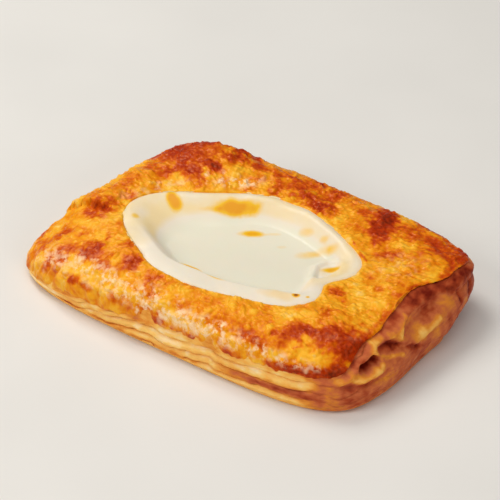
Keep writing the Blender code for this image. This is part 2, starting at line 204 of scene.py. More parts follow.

# Patches that baked darker or, with a minus sign, stayed paler, among them painted shadow and
# painted sheen where marked: x, y, z, half width, half length, direction in plan in degrees and strength
TOP_PATCHES_AND_SHADOW = (
    (-0.0500, -0.0140, 0.0190, 0.0034, 0.0068, 36.0, 0.42),
    (-0.0460, -0.0135, 0.0190, 0.0018, 0.0030, 20.0, 0.30),
    (-0.0377, -0.0236, 0.0190, 0.0010, 0.0046, 126.0, 0.30),
    (-0.0355, -0.0332, 0.0170, 0.0032, 0.0050, 10.0, 0.36),
    (-0.0298, -0.0353, 0.0160, 0.0018, 0.0030, 36.0, 0.30),
    (-0.0395, -0.0300, 0.0175, 0.0020, 0.0042, 36.0, 0.32),
    (-0.0220, -0.0306, 0.0180, 0.0026, 0.0040, 60.0, 0.44),
    (-0.0499, -0.0382, 0.0130, 0.0035, 0.0050, 20.0, 0.34),
    (-0.0430, 0.0250, 0.0210, 0.0085, 0.0160, 36.0, 0.34),
    (-0.0380, 0.0189, 0.0210, 0.0026, 0.0070, 36.0, 0.28),
    (-0.0323, 0.0233, 0.0205, 0.0020, 0.0026, 36.0, 0.40),
    (-0.0488, 0.0264, 0.0210, 0.0028, 0.0080, 36.0, 0.24),
    (-0.0420, 0.0290, 0.0205, 0.0022, 0.0050, 36.0, 0.26),
    (-0.0274, 0.0322, 0.0190, 0.0030, 0.0034, 36.0, 0.34),
    (-0.0150, 0.0350, 0.0185, 0.0025, 0.0070, 10.0, 0.24),
    (-0.0045, 0.0316, 0.0185, 0.0036, 0.0070, 10.0, 0.34),
    (0.0039, 0.0287, 0.0188, 0.0028, 0.0060, 350.0, 0.34),
    (0.0120, 0.0270, 0.0188, 0.0030, 0.0060, 340.0, 0.26),
    (0.0305, 0.0312, 0.0188, 0.0040, 0.0074, 110.0, 0.72),
    (0.0230, 0.0340, 0.0180, 0.0025, 0.0090, 0.0, 0.22),
    (0.0421, 0.0331, 0.0180, 0.0030, 0.0080, 0.0, 0.12),
    (0.0510, 0.0306, 0.0180, 0.0026, 0.0070, 350.0, 0.14),
    (0.0386, -0.0068, 0.0190, 0.0022, 0.0032, 36.0, 0.34),
    (0.0470, 0.0010, 0.0190, 0.0014, 0.0028, 20.0, 0.22),
    (0.0378, -0.0296, 0.0185, 0.0040, 0.0054, 60.0, 0.44),
    (0.0495, -0.0262, 0.0185, 0.0052, 0.0080, 36.0, 0.46),
    (0.0560, -0.0240, 0.0175, 0.0040, 0.0060, 60.0, 0.26),
    (-0.0347, -0.0218, 0.0190, 0.0030, 0.0050, 36.0, -0.10),
    (-0.0043, -0.0352, 0.0170, 0.0030, 0.0060, 20.0, -0.08),
    (0.0430, 0.0087, 0.0190, 0.0060, 0.0090, 36.0, -0.10),
    (0.0453, 0.0163, 0.0190, 0.0030, 0.0070, 36.0, -0.08),
    (-0.0215, 0.0269, 0.0190, 0.0022, 0.0060, 36.0, -0.14),
    (0.0480, -0.0320, 0.0150, 0.0022, 0.0050, 20.0, -0.16),
    # Painted shadow: a thin dark line in the gap between the crust and the sauce at the right tip
    (0.0328, 0.0140, 0.0191, 0.0005, 0.0048, 146.0, 0.80),
    (0.0590, 0.0350, 0.0168, 0.0024, 0.0050, 100.0, 0.30),
    (-0.0332, 0.0140, 0.0204, 0.0026, 0.0058, 40.0, 0.20),
    (-0.0300, 0.0222, 0.0205, 0.0016, 0.0040, 36.0, 0.20),
    (-0.0225, 0.0212, 0.0195, 0.0024, 0.0060, 36.0, -0.12),
)
FRONT_PATCHES_AND_SHEEN = (
    (-0.0030, -0.0420, 0.0104, 0.0011, 0.0075, 0.0, 0.46),
    (0.0040, -0.0420, 0.0100, 0.0011, 0.0045, 0.0, 0.34),
    (0.0100, -0.0420, 0.0102, 0.0012, 0.0030, 0.0, 0.34),
    (-0.0386, -0.0411, 0.0115, 0.0012, 0.0030, 0.0, 0.34),
    (-0.0330, -0.0415, 0.0112, 0.0010, 0.0030, 0.0, 0.26),
    (0.0425, -0.0390, 0.0122, 0.0016, 0.0070, 4.0, 0.40),
    (0.0500, -0.0368, 0.0126, 0.0019, 0.0060, 16.0, 0.48),
    (0.0560, -0.0330, 0.0130, 0.0022, 0.0040, 50.0, 0.56),
    (0.0176, -0.0368, 0.0170, 0.0030, 0.0050, 10.0, 0.14),
    (0.0261, -0.0358, 0.0170, 0.0030, 0.0050, 10.0, 0.14),
    # Painted sheen with paler dough: a pale strip along the near shoulder, where the egg wash shines
    (-0.0118, -0.0406, 0.0146, 0.0020, 0.0130, 0.0, -0.20),
    (0.0060, -0.0407, 0.0142, 0.0018, 0.0120, 0.0, -0.18),
    (0.0240, -0.0400, 0.0145, 0.0018, 0.0100, 0.0, -0.16),
    (0.0370, -0.0391, 0.0147, 0.0014, 0.0060, 0.0, -0.16),
    (-0.0280, -0.0402, 0.0145, 0.0022, 0.0090, 0.0, -0.16),
    (-0.0560, -0.0385, 0.0110, 0.0024, 0.0040, 20.0, -0.20),
)

# Where the dried egg wash lifted in pale flecks, written the same way. Those along the near
# shoulder are painted sheen as well, standing for the shine of the egg wash there
FILM_AND_SHEEN_PATCHES = (
    (-0.0170, -0.0395, 0.0150, 0.0040, 0.0130, 0.0, 0.60),
    (-0.0040, -0.0400, 0.0145, 0.0036, 0.0110, 0.0, 0.95),
    (0.0090, -0.0400, 0.0150, 0.0030, 0.0090, 0.0, 0.80),
    (0.0230, -0.0395, 0.0145, 0.0026, 0.0100, 0.0, 0.85),
    (0.0370, -0.0385, 0.0145, 0.0020, 0.0080, 4.0, 0.70),
    (0.0480, -0.0365, 0.0145, 0.0016, 0.0060, 14.0, 0.55),
    (-0.0300, -0.0370, 0.0150, 0.0036, 0.0090, 0.0, 0.55),
    (-0.0420, -0.0370, 0.0130, 0.0036, 0.0080, 10.0, 0.55),
    (-0.0530, -0.0370, 0.0110, 0.0036, 0.0060, 20.0, 0.65),
    (-0.0190, 0.0250, 0.0195, 0.0022, 0.0060, 36.0, 0.60),
    (0.0455, 0.0150, 0.0190, 0.0050, 0.0080, 36.0, 0.20),
    (0.0540, -0.0180, 0.0185, 0.0016, 0.0060, 80.0, 0.06),
    (-0.0420, -0.0160, 0.0195, 0.0030, 0.0090, 60.0, 0.10),
    (0.0480, -0.0260, 0.0190, 0.0010, 0.0070, 36.0, 0.08),
    (-0.0296, 0.0176, 0.0205, 0.0006, 0.0042, 126.0, 0.90),
    (-0.0260, 0.0206, 0.0202, 0.0007, 0.0046, 116.0, 0.95),
    (-0.0212, 0.0216, 0.0193, 0.0022, 0.0054, 36.0, 0.60),
    (-0.0435, -0.0010, 0.0196, 0.0024, 0.0060, 50.0, 0.36),
    (-0.0385, 0.0090, 0.0193, 0.0016, 0.0060, 45.0, 0.45),
)

# Golden spots in the sauce and the two that turned brown, written the same way
GOLD_SPOTS = (
    (-0.0316, 0.0032, 0.0184, 0.0020, 0.0038, 146.0, 0.84),
    (-0.0350, 0.0052, 0.0190, 0.0013, 0.0022, 120.0, 0.45),
    (-0.0146, 0.0133, 0.0179, 0.0029, 0.0064, 33.0, 0.95),
    (-0.0366, -0.0110, 0.0188, 0.0012, 0.0014, 0.0, 0.45),
    (-0.0045, 0.0082, 0.0142, 0.0016, 0.0034, 36.0, 0.74),
    (0.0010, 0.0120, 0.0142, 0.0008, 0.0026, 36.0, 0.20),
    (0.0243, -0.0180, 0.0195, 0.0024, 0.0060, 10.0, 0.24),
    (-0.0087, -0.0190, 0.0155, 0.0008, 0.0034, 0.0, 0.72),
    (0.0034, -0.0220, 0.0184, 0.0007, 0.0030, 4.0, 0.50),
    (0.0163, 0.0086, 0.0152, 0.0018, 0.0036, 36.0, 0.28),
    (0.0188, 0.0115, 0.0160, 0.0020, 0.0046, 30.0, 0.30),
    (0.0228, 0.0133, 0.0168, 0.0020, 0.0036, 36.0, 0.28),
    (0.0102, 0.0165, 0.0165, 0.0015, 0.0038, 20.0, 0.30),
    (0.0188, 0.0163, 0.0172, 0.0014, 0.0034, 40.0, 0.32),
    (0.0284, 0.0050, 0.0160, 0.0015, 0.0032, 36.0, 0.76),
    (0.0072, 0.0079, 0.0142, 0.0010, 0.0018, 36.0, 0.16),
    (-0.0210, 0.0085, 0.0172, 0.0010, 0.0040, 36.0, 0.22),
    (-0.0034, 0.0157, 0.0170, 0.0008, 0.0030, 36.0, 0.20),
)

BROWN_SPOTS = (
    (0.0288, -0.0154, 0.0195, 0.0010, 0.0011, 36.0, 1.20),
    (0.0322, -0.0140, 0.0195, 0.0005, 0.0006, 36.0, 1.00),
)

# How fine the grids are. The sauce's rings are those of its pool, its bank and its lip
SKIN_SPOKES = 1000
SKIN_TOP_RINGS = 78
BODY_SPOKES = 840
SIDE_RINGS = 96
SAUCE_SPOKES = 480
SAUCE_RINGS = (58, 34, 14)

# The stage: soft square lights by name, with their places, sizes and colours. Their powers, the
# lens and where the camera stands are properties
CAMERA_TARGET = (-0.01149, 0.01655, 0.0)
LIGHT_TARGET = (0.0, 0.0, 0.01)
LIGHTS = (
    ("window", (-0.62, 0.18, 0.86), 0.45, (1.0, 0.985, 0.96)),
    ("front", (-0.42, -0.62, 0.52), 0.40, (1.0, 0.97, 0.93)),
    ("ceiling", (0.0, 0.0, 1.10), 1.10, (1.0, 0.99, 0.97)),
    ("side", (0.66, -0.36, 0.30), 0.40, (1.0, 0.97, 0.95)),
)
FLOOR_SIZE = 3.0
FLOOR_GAP = 0.00005


def linear(code):
    """An sRGB hex colour as linear red, green and blue."""
    parts = [int(code[place : place + 2], 16) / 255.0 for place in (1, 3, 5)]
    return [part / 12.92 if part <= 0.04045 else ((part + 0.055) / 1.055) ** 2.4 for part in parts]


def smooth(value):
    """Eases a value from 0 to 1 with no slope at either end, and holds it outside."""
    held = np.clip(value, 0.0, 1.0)
    return held**2 * (3.0 - 2.0 * held)


def scatter(cells, salt):
    """A fixed number from 0 to 1 for each whole-number cell, by mixing the bits of its numbers.

    The salt tells one pattern from the next.
    """
    place = cells.astype(np.int64).astype(np.uint32)
    mixed = place[..., 0] * np.uint32(73856093) ^ place[..., 1] * np.uint32(19349663)
    mixed = mixed ^ place[..., 2] * np.uint32(83492791) ^ np.uint32(salt * 2654435 + 374761393)
    mixed = (mixed ^ (mixed >> np.uint32(16))) * np.uint32(0x7FEB352D)
    mixed = (mixed ^ (mixed >> np.uint32(15))) * np.uint32(0x846CA68B)
    mixed = mixed ^ (mixed >> np.uint32(16))
    return mixed / 4294967295.0


def noise(points, size, salt):
    """Smooth noise from -1 to 1: numbers at the corners of a lattice of this size, eased between."""
    place = points / size
    cell = np.floor(place)
    way = place - cell
    way = way**3 * (way * (6.0 * way - 15.0) + 10.0)
    total = np.zeros(points.shape[:-1])
    for corner in range(8):
        step = np.array((corner & 1, corner >> 1 & 1, corner >> 2))
        weight = np.where(step == 1, way, 1.0 - way).prod(axis=-1)
        total += weight * scatter(cell + step, salt)
    return 2.0 * total - 1.0


def rough(points, size, salt, times):
    """Noise with finer noise on it: each further pass is half as wide and half as strong."""
    passes = [noise(points, size / 2**n, salt + n) / 2**n for n in range(times)]
    return sum(passes) / (2.0 - 0.5 ** (times - 1)) * 1.6


def seeds(points, size, salt):
    """Cells round scattered seeds: the distance to the nearest seed, and that seed's own number.

    Every cell of a lattice holds one seed at a random place, and the 27 cells round a point are
    searched. The distance is a share of the cell's size.
    """
    place = points / size
    cell = np.floor(place)
    nearest = np.full(points.shape[:-1], 9.0)
    number = np.zeros(points.shape[:-1])
    for neighbour in range(27):
        there = cell + np.array((neighbour % 3, neighbour // 3 % 3, neighbour // 9)) - 1
        seed = there + np.stack([scatter(there, salt + axis) for axis in range(3)], axis=-1)
        distance = np.linalg.norm(seed - place, axis=-1)
        closer = distance < nearest
        number = np.where(closer, scatter(there, salt + 3), number)
        nearest = np.where(closer, distance, nearest)
    return nearest, number


def evenly_round(curve, count):
    """Points at equal distances along a closed curve, which is a function of the angle."""
    angles = np.linspace(0.0, 2.0 * pi, 14401)
    steps = np.linalg.norm(np.diff(curve(angles), axis=0), axis=1)
    run = np.concatenate(([0.0], np.cumsum(steps)))
    return curve(np.interp(np.arange(count) / count * run[-1], run, angles))


def outline(angles):
    """The plan of the crust: a rounded four-sided shape with bowed sides.

    A superellipse in a unit square, each quarter with its own power, is stretched evenly between
    the four corners, and a parabola along each side then bows it out.
    """
    quarter = np.floor(angles / (0.5 * pi)).astype(int) % 4
    power = np.array(CORNER_SQUARENESS)[quarter]
    reach = (np.abs(np.cos(angles)) ** power + np.abs(np.sin(angles)) ** power) ** (-1.0 / power)
    p, q = reach * np.cos(angles), reach * np.sin(angles)
    shares = ((1.0 + p) * (1.0 + q), (1.0 - p) * (1.0 + q), (1.0 - p) * (1.0 - q), (1.0 + p) * (1.0 - q))
    x = sum(0.25 * share * corner for share, corner in zip(shares, CORNER_X))
    y = sum(0.25 * share * corner for share, corner in zip(shares, CORNER_Y))
    x += p * (1.0 - q**2) * np.where(p > 0.0, *BOW_X)
    y += q * (1.0 - p**2) * np.where(q > 0.0, *BOW_Y)
    return np.stack((0.5 * LENGTH * x, 0.5 * WIDTH * y), axis=1) - PLAN_CENTRE


def well_edge(angles):
    """The plan of the well: an ellipse that a few soft bays and points make uneven."""
    x, y = WELL_HALF_LENGTH * np.cos(angles), WELL_HALF_WIDTH * np.sin(angles)
    direction = np.degrees(np.arctan2(y, x))
    reach = np.ones(len(angles))
    for centre, spread, share in WELL_STRAYS:
        away = (direction - centre + 180.0) % 360.0 - 180.0
        reach += share * np.exp(-((away / spread) ** 2))
    return np.stack((reach * x, reach * y), axis=1) + WELL_CENTRE - np.array(PLAN_CENTRE)


def at_spokes(values, count):
    """Station values carried to every spoke, easing from each station to the next."""
    starts = np.array(STATIONS) - STATIONS[0]
    ends = np.append(starts[1:], 1.0)
    shares = (np.arange(count) / count - STATIONS[0]) % 1.0
    before = np.searchsorted(starts, shares, side="right") - 1
    way = (shares - starts[before]) / (ends[before] - starts[before])
    ease = 0.5 - 0.5 * np.cos(pi * way)
    held = np.array(values)
    return held[before] * (1.0 - ease) + np.roll(held, -1)[before] * ease


def swell(plan):
    """How far the puffed top stands up at points of the plan: soft round mounds."""
    x, y = plan[..., 0] + PLAN_CENTRE[0], plan[..., 1] + PLAN_CENTRE[1]
    mounds = [height * np.exp(-((x - at_x) ** 2 + (y - at_y) ** 2) / radius**2)
              for at_x, at_y, radius, height in SWELLS]
    return sum(mounds) + sheet_step(plan)


def sheet_step(plan):
    """The upper sheet's height: it rises steeply across its torn edge and sinks slowly behind it."""
    start, way = np.array(SHEET_STEP[0]), np.subtract(SHEET_STEP[1], SHEET_STEP[0])
    length = np.hypot(*way)
    x, y = plan[..., 0] - start[0], plan[..., 1] - start[1]
    along = (x * way[0] + y * way[1]) / length
    tear = sum(size * np.sin(turn * along + phase) for size, turn, phase in SHEET_TEAR)
    behind = (way[0] * y - way[1] * x) / length - tear
    fade = smooth((SHEET_FADED_OUT - along / length) / SHEET_FADE)
    sunk = np.exp(-((np.maximum(behind, 0.0) / SHEET_REACH) ** 2))
    return SHEET_HEIGHT * fade * smooth(behind / SHEET_RISE) * sunk


def domed_height(plan, share, low, high):
    """The height of the domed top at a share of the way from the well out to the skin's edge.

    It falls from high to low as the root of one less a power of the share, and the swells on it
    fade with it to what is left of them at the edge.
    """
    dome = np.sqrt(1.0 - share ** at_spokes(DOME_POWER, len(plan)))
    left = SWELL_AT_EDGE + (1.0 - SWELL_AT_EDGE) * dome
    return low + (high - low) * dome + left * swell(plan)


def at_right(x):
    """How far into the folded right end a place is, from 0 to 1."""
    return smooth((x - RIGHT_END[0]) / (RIGHT_END[1] - RIGHT_END[0]))


def ring(plan, height):
    """A ring of points over a plan, at one height or at one for each spoke."""
    return np.concatenate((plan, np.broadcast_to(height, plan.shape[:1])[:, None]), axis=1)


def normals(grid):
    """Unit normals of a grid: the way across its rings crossed with the way round them."""
    across = np.gradient(grid, axis=0)
    around = np.roll(grid, -1, axis=1) - np.roll(grid, 1, axis=1)
    upright = np.cross(across, around)
    return upright / np.maximum(np.linalg.norm(upright, axis=2, keepdims=True), 1e-15)


def patches(points, spots, broken, salt):
    """The sum of stretched spots: each is full inside an ellipsoid and ends in a broken edge."""
    fray = broken * rough(points, 0.0030, salt, 3)
    total = np.zeros(points.shape[:-1])
    for x, y, z, half_width, half_length, direction, strength in spots:
        away = points - (x, y, z)
        along = away[..., 0] * cos(radians(direction)) + away[..., 1] * sin(radians(direction))
        across = np.maximum((away**2).sum(axis=-1) - along**2, 0.0)
        distance = np.sqrt(across / half_width**2 + (along / half_length) ** 2)
        total += strength * smooth((1.70 - distance - fray) / 1.4)
    return total


def stretch_distance(y, z, start, end):
    """Distance in the plane of two axes from a straight stretch between two points."""
    way = np.array(end) - start
    share = ((y - start[0]) * way[0] + (z - start[1]) * way[1]) / (way**2).sum()
    share = np.clip(share, 0.0, 1.0)
    return np.hypot(y - start[0] - share * way[0], z - start[1] - share * way[1])


def ring_quads(rings, spokes, closed):
    """Four-sided faces between neighbouring rings, and from the last to the first if closed."""
    upper = np.arange(rings if closed else rings - 1)[:, None]
    lower = (upper + 1) % rings
    spoke = np.arange(spokes)[None, :]
    following = (spoke + 1) % spokes
    corners = (upper * spokes + spoke, lower * spokes + spoke,
               lower * spokes + following, upper * spokes + following)
    return np.stack(corners, axis=2).reshape(-1, 4)


def pole_fans(rings, spokes):
    """Triangles from a first and a last pole, whose points follow those of the grid."""
    spoke = np.arange(spokes)
    following = (spoke + 1) % spokes
    last = (rings - 1) * spokes
    top = np.stack((np.full(spokes, rings * spokes), spoke, following), axis=1)
    bottom = np.stack((last + spoke, np.full(spokes, rings * spokes + 1), last + following), axis=1)
    return np.concatenate((top, bottom))


def make_piece(name, points, quads, triangles, painted, finish, node):
    """Puts arrays of points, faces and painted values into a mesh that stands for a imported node."""
    mesh = bpy.data.meshes.new(name)
    corners = np.concatenate((quads.ravel(), triangles.ravel()))
    starts = np.concatenate((4 * np.arange(len(quads)), 4 * len(quads) + 3 * np.arange(len(triangles))))
    mesh.vertices.add(len(points))
    mesh.vertices.foreach_set("co", points.astype(np.float32).ravel())
    mesh.loops.add(len(corners))
    mesh.loops.foreach_set("vertex_index", corners.astype(np.int32))
    mesh.polygons.add(len(starts))
    mesh.polygons.foreach_set("loop_start", starts.astype(np.int32))
    mesh.update(calc_edges=True)
    if mesh.validate():
        raise ValueError(f"{name} had faces that aren't valid")
    mesh.shade_smooth()
    for key, values in painted.items():
        attribute = mesh.attributes.new(key, "FLOAT", "POINT")
        attribute.data.foreach_set("value", values.astype(np.float32).ravel())
    mesh.materials.append(finish)
    piece = bpy.data.objects.new(name, mesh)
    bpy.context.scene.collection.objects.link(piece)
    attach(piece, "root")
    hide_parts(node)
    return piece


def make_with_poles(name, grid, painted, finish, node):
    """A closed piece from a grid of rings whose first and last rings are drawn in to a pole."""
    rings, spokes = grid.shape[:2]
    ends = np.stack((grid[0].mean(axis=0), grid[-1].mean(axis=0)))
    points = np.concatenate((grid.reshape(-1, 3), ends))
    values = {key: np.append(each.ravel(), (each[0, 0], each[-1, 0])) for key, each in painted.items()}
    quads = ring_quads(rings, spokes, False)
    return make_piece(name, points, quads, pole_fans(rings, spokes), values, finish, node)


def feed(tree, node, **sockets):
    """Gives each named socket of a node its value, or links the output that feeds it.

    A socket is named with its capitals and with _ for a space, or in0, in1 and so on by its place.
    """
    for name, value in sockets.items():
        by_place = name[:2] == "in" and name[2:].isdigit()
        socket = node.inputs[int(name[2:])] if by_place else node.inputs[name.replace("_", " ")]
        if isinstance(value, bpy.types.NodeSocket):
            tree.links.new(value, socket)
        else:
            socket.default_value = value


def add(tree, kind, settings, stops=(), **sockets):
    """Adds one node: its own settings, its colour ramp's stops if it has one, then its sockets."""
    made = tree.nodes.new(kind)
    for name, value in settings.items():
        setattr(made, name, value)
    for _ in stops[2:]:
        made.color_ramp.elements.new(0.5)
    for number, (place, colour) in enumerate(stops):
        element = made.color_ramp.elements[number]
        element.position = place
        element.color = (*colour, 1.0)
    feed(tree, made, **sockets)
    return made


def new_material(name):
    """An empty material, with its node tree, its shader and the object's own coordinates."""
    made = bpy.data.materials.new(name)
    made.use_nodes = True
    tree = made.node_tree
    place = add(tree, "ShaderNodeTexCoord", {}).outputs["Object"]
    return made, tree, tree.nodes["Principled BSDF"], place


def skin_stops(colours):
    """The skin's colours from its palest blister to scorched, with their places on the bake scale."""
    return (
        (0.00, colours.pale_crust),
        (0.20, colours.blister),
        (0.38, colours.light_gold),
        (0.55, colours.gold),
        (0.70, colours.amber),
        (0.84, colours.red_brown),
        (1.00, colours.scorched_and_hollow_shade),
    )


def side_stops(colours):
    """The side's colours on the same scale: cream crumb, gold, then a dusty toasted brown."""
    return (
        (0.00, colours.crumb),
        (0.20, colours.pale_crust),
        (0.38, colours.layer_gold),
        (0.52, colours.layer_amber),
        (0.68, colours.toasted),
        (0.84, colours.deep_toast_and_shade),
        (1.00, colours.scorched_and_hollow_shade),
    )


def under_film_and_sheen(tree, place, colour, film_and_sheen_colour):
    """A colour with pale flecks 2 mm across: dried egg wash lifting from the dough, and painted sheen
    where it shines.
    """
    film = add(tree, "ShaderNodeAttribute", {"attribute_name": "film"}).outputs["Fac"]
    fleck = add(tree, "ShaderNodeTexNoise", {}, Vector=place, Scale=480.0, Detail=4.0, Roughness=0.6)
    lifted = add(tree, "ShaderNodeMapRange", {}, Value=fleck.outputs["Fac"],
                 From_Min=0.46, From_Max=0.60, To_Max=0.90)
    cover = add(tree, "ShaderNodeMath", {"operation": "MULTIPLY"}, in0=film,
                in1=lifted.outputs["Result"])
    mixed = add(tree, "ShaderNodeMix", {"data_type": "RGBA"}, in0=cover.outputs["Value"],
                in6=colour, in7=(*film_and_sheen_colour, 1.0))
    return mixed.outputs[2]


def egg_washed_skin(colours):
    """Baked puff pastry brushed with egg wash.

    The dried egg leaves a thin clear gloss over a mottled gold, so the eye gets broken highlights
    on every blister and a colour that deepens to red-brown where the dough stood highest.
    """
    made, tree, shader, place = new_material("egg_washed_puff_pastry")
    bake = add(tree, "ShaderNodeAttribute", {"attribute_name": "bake"}).outputs["Fac"]
    # Mottling 1.3 mm across and grain 0.35 mm across
    mottle = add(tree, "ShaderNodeTexNoise", {}, Vector=place, Scale=780.0, Detail=2.0,
                 Roughness=0.5).outputs["Fac"]
    grain = add(tree, "ShaderNodeTexNoise", {}, Vector=place, Scale=2800.0, Detail=2.0)
    spread = add(tree, "ShaderNodeMapRange", {}, Value=mottle, From_Min=0.34, From_Max=0.66,
                 To_Min=-0.06, To_Max=0.06)
    mixed = add(tree, "ShaderNodeMath", {"operation": "ADD"}, in0=bake, in1=spread.outputs["Result"])
    crust = add(tree, "ShaderNodeValToRGB", {}, skin_stops(colours), Fac=mixed.outputs["Value"])
    gloss = add(tree, "ShaderNodeMapRange", {}, Value=mottle, From_Min=0.34, From_Max=0.66,
                To_Min=0.26, To_Max=0.50)
    bump = add(tree, "ShaderNodeBump", {}, Height=grain.outputs["Fac"], Strength=0.5,
               Distance=0.00012)
    # The base colour carries the pale flecks, which along the near shoulder are painted sheen
    feed(tree, shader, Base_Color=under_film_and_sheen(tree, place, crust.outputs["Color"], colours.film),
         Roughness=gloss.outputs["Result"], IOR=1.45, Specular_IOR_Level=0.30,
         Specular_Tint=(*colours.pale_crust, 1.0), Coat_Weight=0.07, Coat_Roughness=0.18,
         Coat_IOR=1.45, Subsurface_Weight=0.06, Subsurface_Radius=(1.0, 0.45, 0.15),
         Subsurface_Scale=0.0012, Normal=bump.outputs["Normal"])
    return made


def laminated_dough(colours):
    """The cut side of baked puff pastry: dry layers of butter dough with no egg wash on them.

    The layers are matt and pale where they puffed out, and darker in the gaps between them, toasted and
    in painted shade.
    """
    made, tree, shader, place = new_material("baked_laminated_dough")
    bake = add(tree, "ShaderNodeAttribute", {"attribute_name": "bake"}).outputs["Fac"]
    # Streaks drawn out along the layers, 2.4 mm long and 1 mm high, and grain 0.4 mm across
    flat = add(tree, "ShaderNodeMapping", {}, Vector=place, Scale=(420.0, 420.0, 1000.0))
    streak = add(tree, "ShaderNodeTexNoise", {}, Vector=flat.outputs["Vector"], Scale=1.0,
                 Detail=3.0).outputs["Fac"]
    grain = add(tree, "ShaderNodeTexNoise", {}, Vector=place, Scale=2500.0, Detail=2.0)
    spread = add(tree, "ShaderNodeMapRange", {}, Value=streak, From_Min=0.34, From_Max=0.66,
                 To_Min=-0.06, To_Max=0.06)
    mixed = add(tree, "ShaderNodeMath", {"operation": "ADD"}, in0=bake, in1=spread.outputs["Result"])
    crumb = add(tree, "ShaderNodeValToRGB", {}, side_stops(colours), Fac=mixed.outputs["Value"])
    gloss = add(tree, "ShaderNodeMapRange", {}, Value=streak, To_Min=0.42, To_Max=0.62)
    bump = add(tree, "ShaderNodeBump", {}, Height=grain.outputs["Fac"], Strength=0.5,
               Distance=0.00012)
    feed(tree, shader, Base_Color=crumb.outputs["Color"], Roughness=gloss.outputs["Result"],
         IOR=1.42, Specular_IOR_Level=0.15, Subsurface_Weight=0.08,
         Subsurface_Radius=(1.0, 0.55, 0.25), Subsurface_Scale=0.0012,
         Normal=bump.outputs["Normal"])
    return made


def set_white_sauce(colours):
    """A white sauce of milk, butter and flour that set in the oven under a thin skin.

    It is opaque and softly shiny, lets a little light through its thin edges, and has caught the
    heat in a few golden spots.
    """
    made, tree, shader, place = new_material("oven_set_white_sauce")
    gold = add(tree, "ShaderNodeAttribute", {"attribute_name": "gold"}).outputs["Fac"]
    # How warm the white is, with painted light where the left bank and the fold lie in shade
    warmth = add(tree, "ShaderNodeAttribute", {"attribute_name": "warmth"}).outputs["Fac"]
    # Clouds 4 mm across
    cloud = add(tree, "ShaderNodeTexNoise", {}, Vector=place, Scale=250.0, Detail=3.0)
    spread = add(tree, "ShaderNodeMapRange", {}, Value=cloud.outputs["Fac"], To_Min=-0.12, To_Max=0.12)
    warm = add(tree, "ShaderNodeMath", {"operation": "ADD"}, in0=warmth, in1=spread.outputs["Result"])
    creams = ((0.0, colours.sauce_pool), (0.5, colours.sauce_lip), (1.0, colours.sauce_wall))
    browns = ((0.5, colours.sauce_gold), (0.9, colours.sauce_amber), (1.0, colours.sauce_brown))
    cream = add(tree, "ShaderNodeValToRGB", {}, creams, Fac=warm.outputs["Value"])
    browned = add(tree, "ShaderNodeValToRGB", {}, browns, Fac=gold)
    strength = add(tree, "ShaderNodeMapRange", {}, Value=gold, From_Min=0.06, From_Max=0.52)
    mixed = add(tree, "ShaderNodeMix", {"data_type": "RGBA"}, in0=strength.outputs["Result"],
                in6=cream.outputs["Color"], in7=browned.outputs["Color"])
    # Fine pits of the dried skin, 0.5 mm across
    pits = add(tree, "ShaderNodeTexNoise", {}, Vector=place, Scale=2000.0, Detail=2.0)
    bump = add(tree, "ShaderNodeBump", {}, Height=pits.outputs["Fac"], Strength=0.15,
               Distance=0.00010)
    feed(tree, shader, Base_Color=mixed.outputs[2], Roughness=0.40, IOR=1.38,
         Specular_IOR_Level=0.35, Coat_Weight=0.10, Coat_Roughness=0.16, Subsurface_Weight=0.25,
         Subsurface_Radius=(1.0, 0.8, 0.5), Subsurface_Scale=0.0015, Normal=bump.outputs["Normal"])
    return made


def plain_floor(colour):
    """A matt painted board, lightly mottled so that it isn't one dead tone."""
    made, tree, shader, place = new_material("matt_painted_board")
    # Mottling 60 mm across
    cloud = add(tree, "ShaderNodeTexNoise", {}, Vector=place, Scale=16.0, Detail=2.0)
    tones = ((0.3, [0.96 * part for part in colour]), (0.7, colour))
    paint = add(tree, "ShaderNodeValToRGB", {}, tones, Fac=cloud.outputs["Fac"])
    feed(tree, shader, Base_Color=paint.outputs["Color"], Roughness=0.75)
    return made


def top_shares(count):
    """Shares of the way from the well to the skin's edge, evenly spaced along the domed section."""
    fine = np.linspace(0.0, 1.0, 4001)
    drop = np.sqrt(1.0 - fine**3)
    # A typical section is 22 mm wide and 7 mm high
    run = np.concatenate(([0.0], np.cumsum(np.hypot(22.0 * np.diff(fine), 7.0 * np.diff(drop)))))
    return np.interp(np.linspace(0.0, run[-1], count), run, fine)


